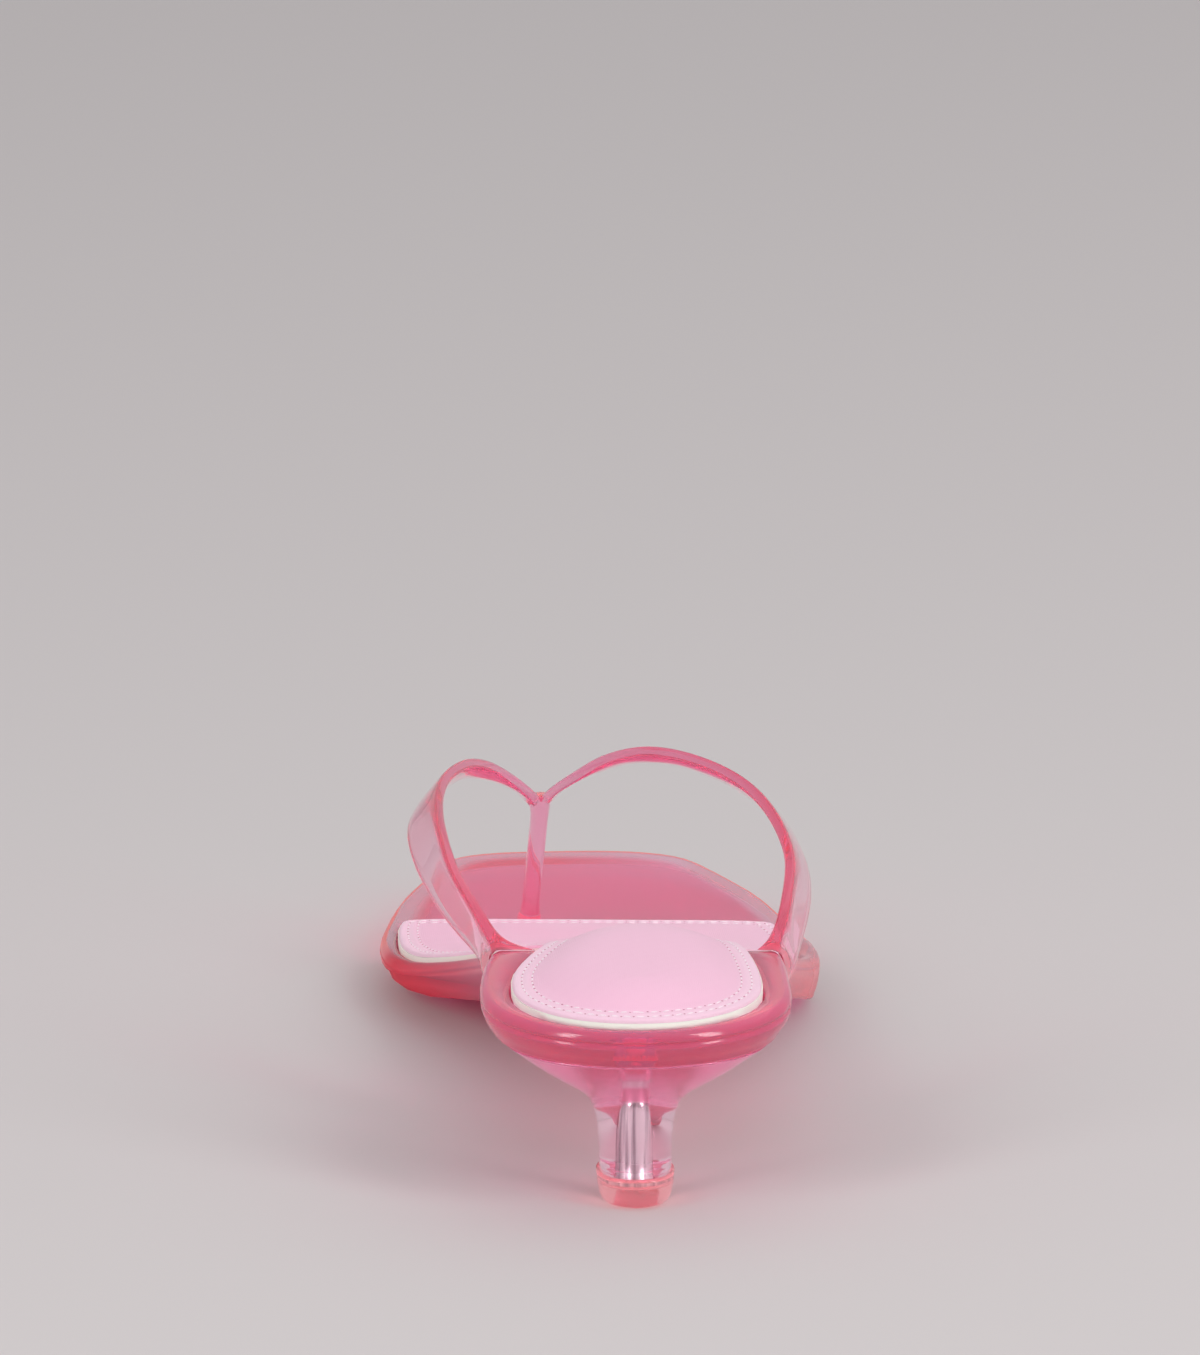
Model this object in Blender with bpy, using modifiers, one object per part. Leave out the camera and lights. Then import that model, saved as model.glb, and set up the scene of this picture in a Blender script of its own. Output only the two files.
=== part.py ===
# Translucent thong sandal on a kitten heel, right shoe, as a maker's assembly of eight pieces.
# Sizes below are millimetres on the last: +X lateral, +Y from heel to toe, +Z up from the floor.

import bpy
import bmesh
import math
from bisect import bisect_right
from mathutils import Vector

MM = 0.001
GAP = 0.3

# Sole: plan, long profile and side, a row for each station along the last
LENGTH = 249.0
HEEL_END = {"length": 31.0, "power": 2.1}
TOE_END = {"length": 10.0, "power": 3.0}
SOLE_PLAN = (
    # y, medial, lateral
    (0.0, 30.4, 32.3),
    (36.0, 30.5, 32.5),
    (50.0, 29.4, 32.6),
    (65.0, 27.4, 32.4),
    (85.0, 26.2, 32.6),
    (105.0, 27.3, 34.6),
    (125.0, 31.3, 38.6),
    (145.0, 38.4, 43.4),
    (160.0, 43.8, 46.6),
    (172.0, 46.2, 46.8),
    (183.0, 46.7, 45.0),
    (200.0, 44.7, 41.3),
    (215.0, 41.6, 37.2),
    (230.0, 36.5, 30.4),
    (240.0, 32.3, 24.8),
    (249.0, 30.0, 18.0),
)
# The crest of the arch and the ball line cross the last at this slope
LAST_TURN = 0.049
SOLE_PROFILE = (
    # y, top, bottom
    (0.0, 40.6, 32.6),
    (20.0, 41.1, 32.6),
    (40.0, 41.4, 32.6),
    (54.0, 41.2, 32.6),
    (64.0, 39.9, 30.9),
    (80.0, 35.4, 26.9),
    (100.0, 29.3, 20.8),
    (120.0, 23.3, 14.8),
    (140.0, 17.4, 8.7),
    (155.0, 13.6, 4.3),
    (166.0, 11.9, 1.5),
    (176.0, 11.0, 0.0),
    (188.0, 10.5, 0.0),
    (200.0, 10.4, 0.0),
    (215.0, 10.8, 0.7),
    (232.0, 11.5, 2.3),
    (249.0, 12.6, 4.5),
)
SOLE_SIDE = (
    # y, inset of the wall's foot, width and height of the rounded lower edge, each medial and lateral
    (0.0, 2.4, 2.4, 0.9, 0.9, 0.9, 0.9),
    (45.0, 2.4, 2.4, 0.9, 0.9, 0.9, 0.9),
    (75.0, 3.0, 2.2, 1.4, 0.9, 1.2, 0.9),
    (110.0, 3.4, 1.8, 3.0, 0.9, 2.2, 0.9),
    (140.0, 2.4, 1.5, 8.0, 1.0, 4.4, 1.0),
    (160.0, 1.6, 1.2, 11.5, 1.2, 5.6, 1.0),
    (185.0, 1.4, 1.2, 11.0, 1.6, 5.4, 1.2),
    (220.0, 1.8, 1.6, 5.0, 2.0, 3.0, 1.5),
    (249.0, 1.8, 1.8, 1.6, 1.6, 1.6, 1.6),
)
# From the lateral to the medial edge the footbed falls and the arch hangs a little
MEDIAL_FALL = (
    # y, fall of the footbed, sag of the underside
    (0.0, 0.0, 0.0),
    (95.0, 0.0, 0.4),
    (120.0, 0.3, 1.6),
    (140.0, 0.8, 0.9),
    (155.0, 1.0, 0.0),
    (170.0, 0.8, 0.0),
    (195.0, 0.2, 0.0),
    (249.0, 0.0, 0.0),
)
FALL_HALF_WIDTH = 42.0
BEAD_RADIUS = 2.3
BEAD_STEPS = 6
# Parting groove under the bead: its depth, its floor and the lower lip that the wall starts from
PARTING_DEPTH = 0.5
PARTING_FLOOR = 0.3
PARTING_LIP = 0.6
WALL_SHARES = (0.0, 0.25, 0.5, 0.75, 1.0)
WALL_BOW = 1.9
EDGE_STEPS = 4

# Insole: foam and cover in a shallow tray of the sole
INSOLE_BACK = 2.8
INSOLE_FRONT = 190.8
INSOLE_HEEL_END = {"length": 25.0, "power": 2.1}
INSOLE_FRONT_END = {"length": 7.0, "power": 7.0}
INSOLE_MARGIN = (
    # y, medial, lateral, share of the padding
    (0.0, 5.9, 6.2, 1.0),
    (32.0, 6.4, 6.3, 1.0),
    (45.0, 8.3, 7.0, 1.0),
    (62.0, 11.4, 8.8, 1.0),
    (82.0, 12.0, 10.0, 0.8),
    (100.0, 7.0, 9.0, 0.6),
    (118.0, 3.6, 7.6, 0.5),
    (140.0, 2.8, 6.5, 0.4),
    (165.0, 3.4, 6.0, 0.35),
    (191.0, 4.6, 5.5, 0.35),
)
INSOLE_SLANT = 0.078
SLANT_FROM = 150.0
TRAY_DEPTH = 0.9
TRAY_CLEARANCE = 0.7
TRAY_CUT_TOP = 6.0
FOAM_THICKNESS = 1.4
COVER_EDGE = 0.6
COVER_RISE = (
    # inset, rise of the flat border, rise of the padding
    (0.0, 0.0, 0.0),
    (0.5, 0.35, 0.0),
    (4.3, 0.45, 0.15),
    (6.0, 0.45, 1.0),
    (8.2, 0.45, 1.95),
    (11.5, 0.45, 3.0),
    (16.6, 0.45, 3.8),
)

# Heel block and post, a row for each level
HEEL_LEVELS = (
    # z, back, front, half width, centre, power of the rounded section
    (32.3, 4.1, 47.8, 27.0, 0.9, 2.1),
    (30.5, 5.0, 46.6, 24.4, 0.8, 2.15),
    (28.2, 6.5, 44.0, 20.9, 0.7, 2.2),
    (26.4, 8.0, 41.2, 17.6, 0.6, 2.25),
    (24.9, 9.2, 38.6, 14.4, 0.5, 2.3),
    (23.4, 10.2, 36.2, 11.4, 0.4, 2.35),
    (21.6, 11.0, 34.0, 9.4, 0.3, 2.35),
    (19.0, 11.6, 32.6, 8.3, 0.3, 2.35),
    (15.0, 12.0, 31.3, 7.6, 0.3, 2.35),
    (10.5, 12.1, 30.6, 7.4, 0.3, 2.35),
    (6.6, 12.1, 30.4, 7.3, 0.3, 2.35),
)
TIP_LEVELS = (
    # z, back, front, half width, centre, power of the rounded section
    (6.3, 11.3, 31.2, 7.95, 0.3, 2.35),
    (4.4, 11.5, 31.0, 7.85, 0.3, 2.35),
    (2.0, 12.1, 30.4, 7.5, 0.3, 2.35),
    (0.7, 13.0, 29.6, 6.9, 0.3, 2.35),
    (0.0, 14.0, 28.6, 6.2, 0.3, 2.35),
)
HEEL_SIDES = 40
TIP_SIDES = 32

# Dowel, its bore and flange, the socket over it and the plug in the sole
PIN_X = 0.3
PIN_Y = 21.5
PIN_RADIUS = 1.85
PIN_TOP = 31.0
PIN_FOOT = 4.0
FLANGE_RADIUS = 3.7
FLANGE_TOP = 5.8
PIN_CHAMFER = 0.4
PIN_SIDES = 24
SOCKET_WIDTH = 5.6
SOCKET_FLOOR = 29.4
PLUG_FOOT_RADIUS = 2.6
PLUG_TOP_RADIUS = 3.4
PLUG_FOOT = 32.8
PLUG_TOP = 36.6
CUT_PAST = 2.0

# Upper: rear edge of each strap, from the sole to the toe post
MEDIAL_STRAP = (
    # x, y, z, width, thickness, flare of the inner face, tilt of the outer face above level
    (-24.2, 63.0, 37.8, 9.0, 3.4, 9.0, -8.0),
    (-25.6, 66.5, 40.3, 12.5, 3.0, 2.6, -10.0),
    (-27.0, 69.9, 42.5, 12.4, 2.7, 0.3, -11.0),
    (-29.5, 76.0, 45.9, 12.0, 2.5, 0.0, -12.0),
    (-33.7, 90.0, 50.7, 11.2, 2.4, 0.0, 5.0),
    (-35.6, 106.0, 55.0, 10.6, 2.4, 0.0, 26.0),
    (-35.7, 122.0, 57.3, 10.1, 2.4, 0.0, 38.0),
    (-33.7, 138.0, 58.0, 9.6, 2.4, 0.0, 38.0),
    (-28.9, 153.0, 57.1, 9.0, 2.4, 0.0, 46.0),
    (-23.6, 165.0, 53.5, 8.4, 2.4, 0.0, 68.0),
    (-17.9, 177.0, 46.9, 7.2, 2.3, 0.0, 95.0),
    (-13.4, 187.0, 40.6, 5.2, 2.2, 0.0, 114.0),
    (-11.9, 193.0, 37.0, 4.0, 2.2, 0.0, 124.0),
)
LATERAL_STRAP = (
    # x, y, z, width, thickness, flare of the inner face, tilt of the outer face above level
    (28.8, 59.5, 37.6, 6.5, 3.4, 6.0, 3.0),
    (30.4, 63.0, 40.2, 9.5, 3.0, 2.0, 4.0),
    (31.6, 66.8, 42.5, 11.4, 2.7, 0.2, 5.0),
    (33.6, 74.0, 46.6, 12.0, 2.5, 0.0, 7.5),
    (35.6, 90.0, 51.0, 11.2, 2.4, 0.0, 18.0),
    (35.0, 101.0, 53.9, 10.7, 2.4, 0.0, 29.0),
    (32.5, 114.0, 56.8, 10.2, 2.4, 0.0, 36.0),
    (28.3, 126.0, 58.9, 9.8, 2.4, 0.0, 45.0),
    (22.0, 137.0, 60.1, 9.5, 2.4, 0.0, 53.0),
    (14.2, 148.0, 60.0, 9.2, 2.4, 0.0, 60.0),
    (7.2, 157.0, 58.2, 8.8, 2.4, 0.0, 69.0),
    (0.3, 168.0, 53.4, 8.2, 2.4, 0.0, 86.0),
    (-5.0, 178.0, 47.3, 7.2, 2.3, 0.0, 102.0),
    (-9.8, 187.0, 41.4, 5.2, 2.0, 0.0, 117.0),
    (-11.7, 193.0, 37.2, 4.0, 2.0, 0.0, 124.0),
)
STRAP_STEPS = 3
STRAP_CORNER_STEPS = 2
STRAP_ROUND = 0.42
TOE_POST = (
    # z, x, y, half width, half depth
    (9.0, -14.2, 197.6, 2.7, 3.5),
    (11.6, -14.0, 197.4, 2.6, 3.4),
    (12.6, -13.9, 197.2, 2.0, 2.9),
    (20.0, -13.3, 196.2, 1.95, 2.8),
    (28.0, -12.5, 195.0, 1.95, 2.8),
    (34.0, -12.0, 194.0, 1.95, 2.8),
    (37.5, -11.7, 193.3, 2.2, 3.0),
    (39.6, -11.6, 192.8, 1.8, 2.4),
)
POST_POWER = 2.4
POST_SIDES = 20

# Facets along the outlines, the angle of a sharp edge and the distance at which points merge
END_STEPS = 8
SIDE_STEPS = 30
SHARP_ANGLE = 35.0
MERGE_DISTANCE = 0.01

# Finish of each piece: colour, roughness, metallic
FINISHES = {
    "sole": ((0.72, 0.20, 0.30), 0.12, 0.0),
    "heel": ((0.82, 0.42, 0.55), 0.08, 0.0),
    "heel_pin": ((0.70, 0.70, 0.72), 0.25, 1.0),
    "heel_plug": ((0.75, 0.10, 0.14), 0.15, 0.0),
    "heel_tip": ((0.80, 0.28, 0.30), 0.35, 0.0),
    "insole_foam": ((0.82, 0.79, 0.72), 0.9, 0.0),
    "insole_cover": ((0.90, 0.56, 0.70), 0.75, 0.0),
    "upper": ((0.86, 0.38, 0.52), 0.1, 0.0),
}


# A smooth curve through one column of a table that never overshoots its rows
def column_curve(rows, column):
    xs = [row[0] for row in rows]
    ys = [row[column] for row in rows]
    steps = [b - a for a, b in zip(xs, xs[1:])]
    rises = [(b - a) / step for a, b, step in zip(ys, ys[1:], steps)]
    slopes = [rises[0]]
    for left, right in zip(rises, rises[1:]):
        slopes.append(2 * left * right / (left + right) if left * right > 0 else 0.0)
    slopes.append(rises[-1])

    def value(x):
        x = min(max(x, xs[0]), xs[-1])
        i = min(bisect_right(xs, x) - 1, len(steps) - 1)
        t = (x - xs[i]) / steps[i]
        start = ys[i] * (1 + 2 * t) + slopes[i] * steps[i] * t
        end = ys[i + 1] * (3 - 2 * t) - slopes[i + 1] * steps[i] * (1 - t)
        return start * (1 - t) ** 2 + end * t ** 2

    return value


medial_edge = column_curve(SOLE_PLAN, 1)
lateral_edge = column_curve(SOLE_PLAN, 2)
sole_top = column_curve(SOLE_PROFILE, 1)
sole_bottom = column_curve(SOLE_PROFILE, 2)
side_insets = (column_curve(SOLE_SIDE, 1), column_curve(SOLE_SIDE, 2))
edge_widths = (column_curve(SOLE_SIDE, 3), column_curve(SOLE_SIDE, 4))
edge_heights = (column_curve(SOLE_SIDE, 5), column_curve(SOLE_SIDE, 6))
footbed_fall = column_curve(MEDIAL_FALL, 1)
arch_sag = column_curve(MEDIAL_FALL, 2)
insole_margins = (column_curve(INSOLE_MARGIN, 1), column_curve(INSOLE_MARGIN, 2))
padding_share = column_curve(INSOLE_MARGIN, 3)


# Share of the way across the last, from its lateral to its medial edge
def medial_share(x):
    return (FALL_HALF_WIDTH - x) / (2 * FALL_HALF_WIDTH)


# Heights of the footbed and of the underside at a place on the last
def footbed(x, y):
    return sole_top(y + LAST_TURN * x) - footbed_fall(y) * medial_share(x)


def underside(x, y):
    return sole_bottom(y + LAST_TURN * x) - arch_sag(y) * medial_share(x)


# Stations along an outline with rounded ends: y and the share of the full width there
def outline_stations(back, front, back_end, front_end):
    angles = [math.pi / 2 * k / END_STEPS for k in range(1, END_STEPS + 1)]
    stations = []
    for angle in angles:
        along = math.cos(angle) ** (2 / back_end["power"])
        across = math.sin(angle) ** (2 / back_end["power"])
        stations.append((back + back_end["length"] * (1 - along), across))
    start = back + back_end["length"]
    end = front - front_end["length"]
    for k in range(1, SIDE_STEPS):
        stations.append((start + (end - start) * k / SIDE_STEPS, 1.0))
    for angle in reversed(angles):
        along = math.cos(angle) ** (2 / front_end["power"])
        across = math.sin(angle) ** (2 / front_end["power"])
        stations.append((front - front_end["length"] * (1 - along), across))
    return stations


# Closed outline: heel point, medial side, toe point, lateral side back to the heel
def outline(back, front, back_end, front_end, margins):
    medial = []
    lateral = []
    for y, share in outline_stations(back, front, back_end, front_end):
        low = -(medial_edge(y) - margins[0](y))
        high = lateral_edge(y) - margins[1](y)
        centre = (low + high) / 2
        half = (high - low) / 2 * share
        medial.append((centre - half, y))
        lateral.append((centre + half, y))
    heel_point = ((medial[0][0] + lateral[0][0]) / 2, back)
    toe_point = ((medial[-1][0] + lateral[-1][0]) / 2, front)
    return [heel_point] + medial + [toe_point] + lateral[::-1]


# One ring of a draped loft: the outline moved inward, at a height worked out from place and side
def ring(points, inset, height):
    count = len(points)
    result = []
    for i, (x, y) in enumerate(points):
        before = points[i - 1]
        after = points[(i + 1) % count]
        along = Vector((after[0] - before[0], after[1] - before[1])).normalized()
        inward = Vector((along.y, -along.x))
        side = 0 if i <= count // 2 else 1
        depth = inset(y, side) if callable(inset) else inset
        place = Vector((x, y)) + inward * depth
        result.append(Vector((place.x, place.y, height(place.x, place.y, side))))
    return result


# Closed solid through rings of equal count, whose ends are closed by strips across the ring
def loft(name, rings, collection):
    shape = bmesh.new()
    loops = [[shape.verts.new(point * MM) for point in points] for points in rings]
    count = len(loops[0])
    for lower, upper in zip(loops, loops[1:]):
        for i in range(count):
            j = (i + 1) % count
            shape.faces.new((lower[i], lower[j], upper[j], upper[i]))
    for loop in (loops[0], loops[-1]):
        for i in range(count // 2):
            corners = (loop[i], loop[i + 1], loop[-i - 1], loop[-i])
            shape.faces.new(list(dict.fromkeys(corners)))
    bmesh.ops.recalc_face_normals(shape, faces=shape.faces[:])
    return mesh_object(name, shape, collection)


# Object of a finished bmesh, in its collection and under the shoe's origin
def mesh_object(name, shape, collection):
    mesh = bpy.data.meshes.new(name)
    shape.to_mesh(mesh)
    shape.free()
    mesh.shade_smooth()
    mesh.set_sharp_from_angle(angle=math.radians(SHARP_ANGLE))
    item = bpy.data.objects.new(name, mesh)
    collection.objects.link(item)
    item.parent = origin
    if collection == cutters:
        item.hide_render = True
        item.display_type = "WIRE"
    return item


# Boolean of one object by another, kept as a modifier
def boolean(item, operation, tool):
    modifier = item.modifiers.new(tool.name, "BOOLEAN")
    modifier.operation = operation
    modifier.solver = "EXACT"
    modifier.object = tool


# Cylinder or cone on the dowel's axis
def turned(name, foot_radius, top_radius, foot, top, collection):
    shape = bmesh.new()
    bmesh.ops.create_cone(shape, cap_ends=True, segments=PIN_SIDES, radius1=foot_radius * MM,
                          radius2=top_radius * MM, depth=(top - foot) * MM)
    middle = Vector((PIN_X, PIN_Y, (foot + top) / 2)) * MM
    bmesh.ops.translate(shape, verts=shape.verts[:], vec=middle)
    return mesh_object(name, shape, collection)


# Margin of an outline that keeps the sole's own edge
def no_margin(y):
    return 0.0


# Sole solid, or the same form without its groove, grown on every side to cut what stands on it
def sole_solid(name, grown, groove, collection):
    points = outline(0.0, LENGTH, HEEL_END, TOE_END, (no_margin, no_margin))
    top = lambda x, y: footbed(x, y) + grown
    bottom = lambda x, y: underside(x, y) - grown
    lip = BEAD_RADIUS + PARTING_LIP
    rings = []
    for k in range(BEAD_STEPS + 1):
        angle = math.pi / 2 * k / BEAD_STEPS
        inset = BEAD_RADIUS * (1 - math.sin(angle)) - grown
        drop = BEAD_RADIUS * (1 - math.cos(angle))
        rings.append(ring(points, inset, lambda x, y, side: top(x, y) - drop))
    if groove:
        floor = BEAD_RADIUS + PARTING_FLOOR
        rings.append(ring(points, groove, lambda x, y, side: top(x, y) - floor))
    for share in WALL_SHARES:
        inset = lambda y, side: side_insets[side](y) * share ** WALL_BOW - grown
        foot = lambda x, y, side: bottom(x, y) + edge_heights[side](y)
        height = lambda x, y, side: (top(x, y) - lip) * (1 - share) + foot(x, y, side) * share
        rings.append(ring(points, inset, height))
    for k in range(1, EDGE_STEPS + 1):
        angle = math.pi / 2 * k / EDGE_STEPS
        inward = 1 - math.cos(angle)
        lift = 1 - math.sin(angle)
        inset = lambda y, side: side_insets[side](y) + edge_widths[side](y) * inward - grown
        height = lambda x, y, side: bottom(x, y) + edge_heights[side](y) * lift
        rings.append(ring(points, inset, height))
    return loft(name, rings, collection)


# Insole outline, its front edge slanted across the foot
def insole_outline(clearance):
    margins = tuple(lambda y, edge=edge: edge(y) - clearance for edge in insole_margins)
    back = INSOLE_BACK - clearance
    front = INSOLE_FRONT + clearance
    points = outline(back, front, INSOLE_HEEL_END, INSOLE_FRONT_END, margins)
    slanted = []
    for x, y in points:
        share = max(0.0, (y - SLANT_FROM) / (INSOLE_FRONT - SLANT_FROM))
        slanted.append((x, y - INSOLE_SLANT * x * share))
    return slanted


# Slab draped over the footbed between two heights above it
def draped_slab(name, points, low, high, collection):
    rings = [ring(points, 0.0, lambda x, y, side: footbed(x, y) + low)]
    rings.append(ring(points, 0.0, lambda x, y, side: footbed(x, y) + high))
    return loft(name, rings, collection)


# Padded cover that crowns from its edge to the middle
def insole_cover(low):
    rings = [ring(insole_outline(0.0), 0.0, lambda x, y, side: footbed(x, y) + low)]
    for inset, border, padding in COVER_RISE:
        rise = lambda y: low + COVER_EDGE + border + padding * padding_share(y)
        rings.append(ring(insole_outline(-inset), 0.0, lambda x, y, side: footbed(x, y) + rise(y)))
    return loft("insole_cover", rings, parts)


# Level section of the heel: a rounded rectangle between its back and front
def level_ring(z, back, front, half_width, centre, power, sides):
    middle = (back + front) / 2
    half_depth = (front - back) / 2
    result = []
    for k in range(sides):
        angle = 2 * math.pi * k / sides
        across = abs(math.sin(angle)) ** (2 / power)
        along = abs(math.cos(angle)) ** (2 / power)
        x = centre - math.copysign(across, math.sin(angle)) * half_width
        y = middle - math.copysign(along, math.cos(angle)) * half_depth
        result.append(Vector((x, y, z)))
    return result


# Heel block and post, bored for the dowel and with a square socket at the top
def heel_block():
    rings = [level_ring(*row, HEEL_SIDES) for row in HEEL_LEVELS]
    item = loft("heel", rings, parts)
    post_foot = HEEL_LEVELS[-1][0]
    block_top = HEEL_LEVELS[0][0]
    bore_radius = PIN_RADIUS + GAP
    bore = turned("pin_bore", bore_radius, bore_radius, post_foot - CUT_PAST,
                  block_top + CUT_PAST, cutters)
    boolean(item, "DIFFERENCE", bore)
    shape = bmesh.new()
    bmesh.ops.create_cube(shape, size=1.0)
    height = block_top + CUT_PAST - SOCKET_FLOOR
    size = Vector((SOCKET_WIDTH, SOCKET_WIDTH, height)) * MM
    bmesh.ops.scale(shape, verts=shape.verts[:], vec=size)
    middle = Vector((PIN_X, PIN_Y, SOCKET_FLOOR + height / 2)) * MM
    bmesh.ops.translate(shape, verts=shape.verts[:], vec=middle)
    boolean(item, "DIFFERENCE", mesh_object("socket_cut", shape, cutters))
    return item


# Top lift with a pocket for the dowel's flange
def heel_tip():
    rings = [level_ring(*row, TIP_SIDES) for row in TIP_LEVELS]
    item = loft("heel_tip", rings, parts)
    pocket_radius = FLANGE_RADIUS + GAP
    pocket = turned("flange_pocket", pocket_radius, pocket_radius, PIN_FOOT - GAP,
                    TIP_LEVELS[0][0] + CUT_PAST, cutters)
    boolean(item, "DIFFERENCE", pocket)
    return item


# Steel dowel, turned from its half profile
def heel_pin():
    profile = (
        (0.0, PIN_TOP),
        (PIN_RADIUS - PIN_CHAMFER, PIN_TOP),
        (PIN_RADIUS, PIN_TOP - PIN_CHAMFER),
        (PIN_RADIUS, FLANGE_TOP),
        (FLANGE_RADIUS, FLANGE_TOP),
        (FLANGE_RADIUS, PIN_FOOT),
        (0.0, PIN_FOOT),
    )
    shape = bmesh.new()
    verts = [shape.verts.new((radius * MM, 0.0, z * MM)) for radius, z in profile]
    for start, end in zip(verts, verts[1:]):
        shape.edges.new((start, end))
    item = mesh_object("heel_pin", shape, parts)
    item.location = Vector((PIN_X, PIN_Y, 0.0)) * MM
    screw = item.modifiers.new("turn", "SCREW")
    screw.steps = PIN_SIDES
    screw.render_steps = PIN_SIDES
    screw.use_merge_vertices = True
    screw.merge_threshold = MERGE_DISTANCE * MM
    return item


# Rows between the given ones, along a smooth path through them
def smooth_rows(rows, steps):
    result = []
    last = len(rows) - 1
    for i in range(last):
        near = [Vector(rows[min(max(k, 0), last)]) for k in range(i - 1, i + 3)]
        for step in range(steps):
            t = step / steps
            value = near[1] * 2 + (near[2] - near[0]) * t
            value += (near[0] * 2 - near[1] * 5 + near[2] * 4 - near[3]) * t ** 2
            value += (near[1] * 3 - near[0] - near[2] * 3 + near[3]) * t ** 3
            result.append(value / 2)
    result.append(Vector(rows[-1]))
    return result


# Strap section: rear edge at the path, width forward and down, rounded corners, flared inward
def strap_ring(place, along, outward_turn, width, thickness, flare, tilt):
    side = Vector((-along.y, along.x, 0.0)).normalized() * outward_turn
    rise = along.cross(side) * outward_turn
    face = side * math.cos(tilt) + rise * math.sin(tilt)
    across = side * math.sin(tilt) - rise * math.cos(tilt)
    radius = thickness / 2 * STRAP_ROUND
    outer = thickness / 2 - radius
    inner = -outer - flare
    corners = (
        # reach from the rear edge, depth of the corner's centre, angle at its start
        (radius, outer, math.pi),
        (width - radius, outer, math.pi / 2),
        (width - radius, inner, 0.0),
        (radius, inner, -math.pi / 2),
    )
    points = []
    for reach, depth, start in corners:
        for k in range(STRAP_CORNER_STEPS + 1):
            angle = start - math.pi / 2 * k / STRAP_CORNER_STEPS
            forward = reach + radius * math.cos(angle)
            outward = depth + radius * math.sin(angle)
            points.append(place + across * forward + face * outward)
    return points


# One strap swept along its table
def strap(name, rows, outward_turn, collection):
    path = smooth_rows(rows, STRAP_STEPS)
    rings = []
    for i, row in enumerate(path):
        before = path[max(i - 1, 0)]
        after = path[min(i + 1, len(path) - 1)]
        along = Vector((after - before)[:3]).normalized()
        width, thickness, flare, tilt = row[3:]
        place = Vector(row[:3])
        turn = math.radians(tilt)
        rings.append(strap_ring(place, along, outward_turn, width, thickness, max(flare, 0.0), turn))
    return loft(name, rings, collection)


# Toe post with its collar on the footbed
def toe_post():
    rings = []
    for z, x, y, half_width, half_depth in TOE_POST:
        points = []
        for k in range(POST_SIDES):
            angle = 2 * math.pi * k / POST_SIDES
            across = math.copysign(abs(math.sin(angle)) ** (2 / POST_POWER), math.sin(angle))
            depth = math.copysign(abs(math.cos(angle)) ** (2 / POST_POWER), math.cos(angle))
            points.append(Vector((x - across * half_width, y - depth * half_depth, z)))
        rings.append(points)
    return loft("toe_post", rings, cutters)


# Upper: both straps and the toe post joined, and cut clear of the sole
def upper():
    item = strap("upper", MEDIAL_STRAP, 1, parts)
    boolean(item, "UNION", strap("lateral_strap", LATERAL_STRAP, -1, cutters))
    boolean(item, "UNION", toe_post())
    boolean(item, "DIFFERENCE", sole_solid("sole_clearance", GAP, 0.0, cutters))
    return item


# Principled material of one piece
def finish(item):
    colour, roughness, metallic = FINISHES[item.name]
    material = bpy.data.materials.new(item.name)
    material.use_nodes = True
    shader = material.node_tree.nodes["Principled BSDF"]
    shader.inputs["Base Color"].default_value = (*colour, 1.0)
    shader.inputs["Roughness"].default_value = roughness
    shader.inputs["Metallic"].default_value = metallic
    item.data.materials.append(material)


for old in list(bpy.data.objects):
    bpy.data.objects.remove(old, do_unlink=True)

parts = bpy.data.collections.new("jelly_kitten_heel")
cutters = bpy.data.collections.new("cutters")
for collection in (parts, cutters):
    bpy.context.scene.collection.children.link(collection)

# The origin lies under the middle of the shoe's box, on the floor
widest = outline(0.0, LENGTH, HEEL_END, TOE_END, (no_margin, no_margin))
box_middle = (min(x for x, y in widest) + max(x for x, y in widest)) / 2
origin = bpy.data.objects.new("shoe_origin", None)
origin.location = Vector((-box_middle, -LENGTH / 2, 0.0)) * MM
parts.objects.link(origin)

sole = sole_solid("sole", 0.0, PARTING_DEPTH, parts)
boolean(sole, "DIFFERENCE", draped_slab("tray_cut", insole_outline(TRAY_CLEARANCE), -TRAY_DEPTH,
                                        TRAY_CUT_TOP, cutters))
boolean(sole, "DIFFERENCE", turned("plug_pocket", PLUG_FOOT_RADIUS + GAP, PLUG_TOP_RADIUS + GAP,
                                   PLUG_FOOT - CUT_PAST, PLUG_TOP + GAP, cutters))
plug = turned("heel_plug", PLUG_FOOT_RADIUS, PLUG_TOP_RADIUS, PLUG_FOOT, PLUG_TOP, parts)
foam_low = GAP - TRAY_DEPTH
foam_high = foam_low + FOAM_THICKNESS
foam = draped_slab("insole_foam", insole_outline(0.0), foam_low, foam_high, parts)
cover = insole_cover(foam_high + GAP)

for piece in (sole, heel_block(), heel_pin(), plug, heel_tip(), foam, cover, upper()):
    finish(piece)
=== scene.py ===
import math

import bmesh
import bpy
from mathutils import Matrix, Vector, noise
from mathutils.bvhtree import BVHTree
from mathutils.kdtree import KDTree


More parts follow.
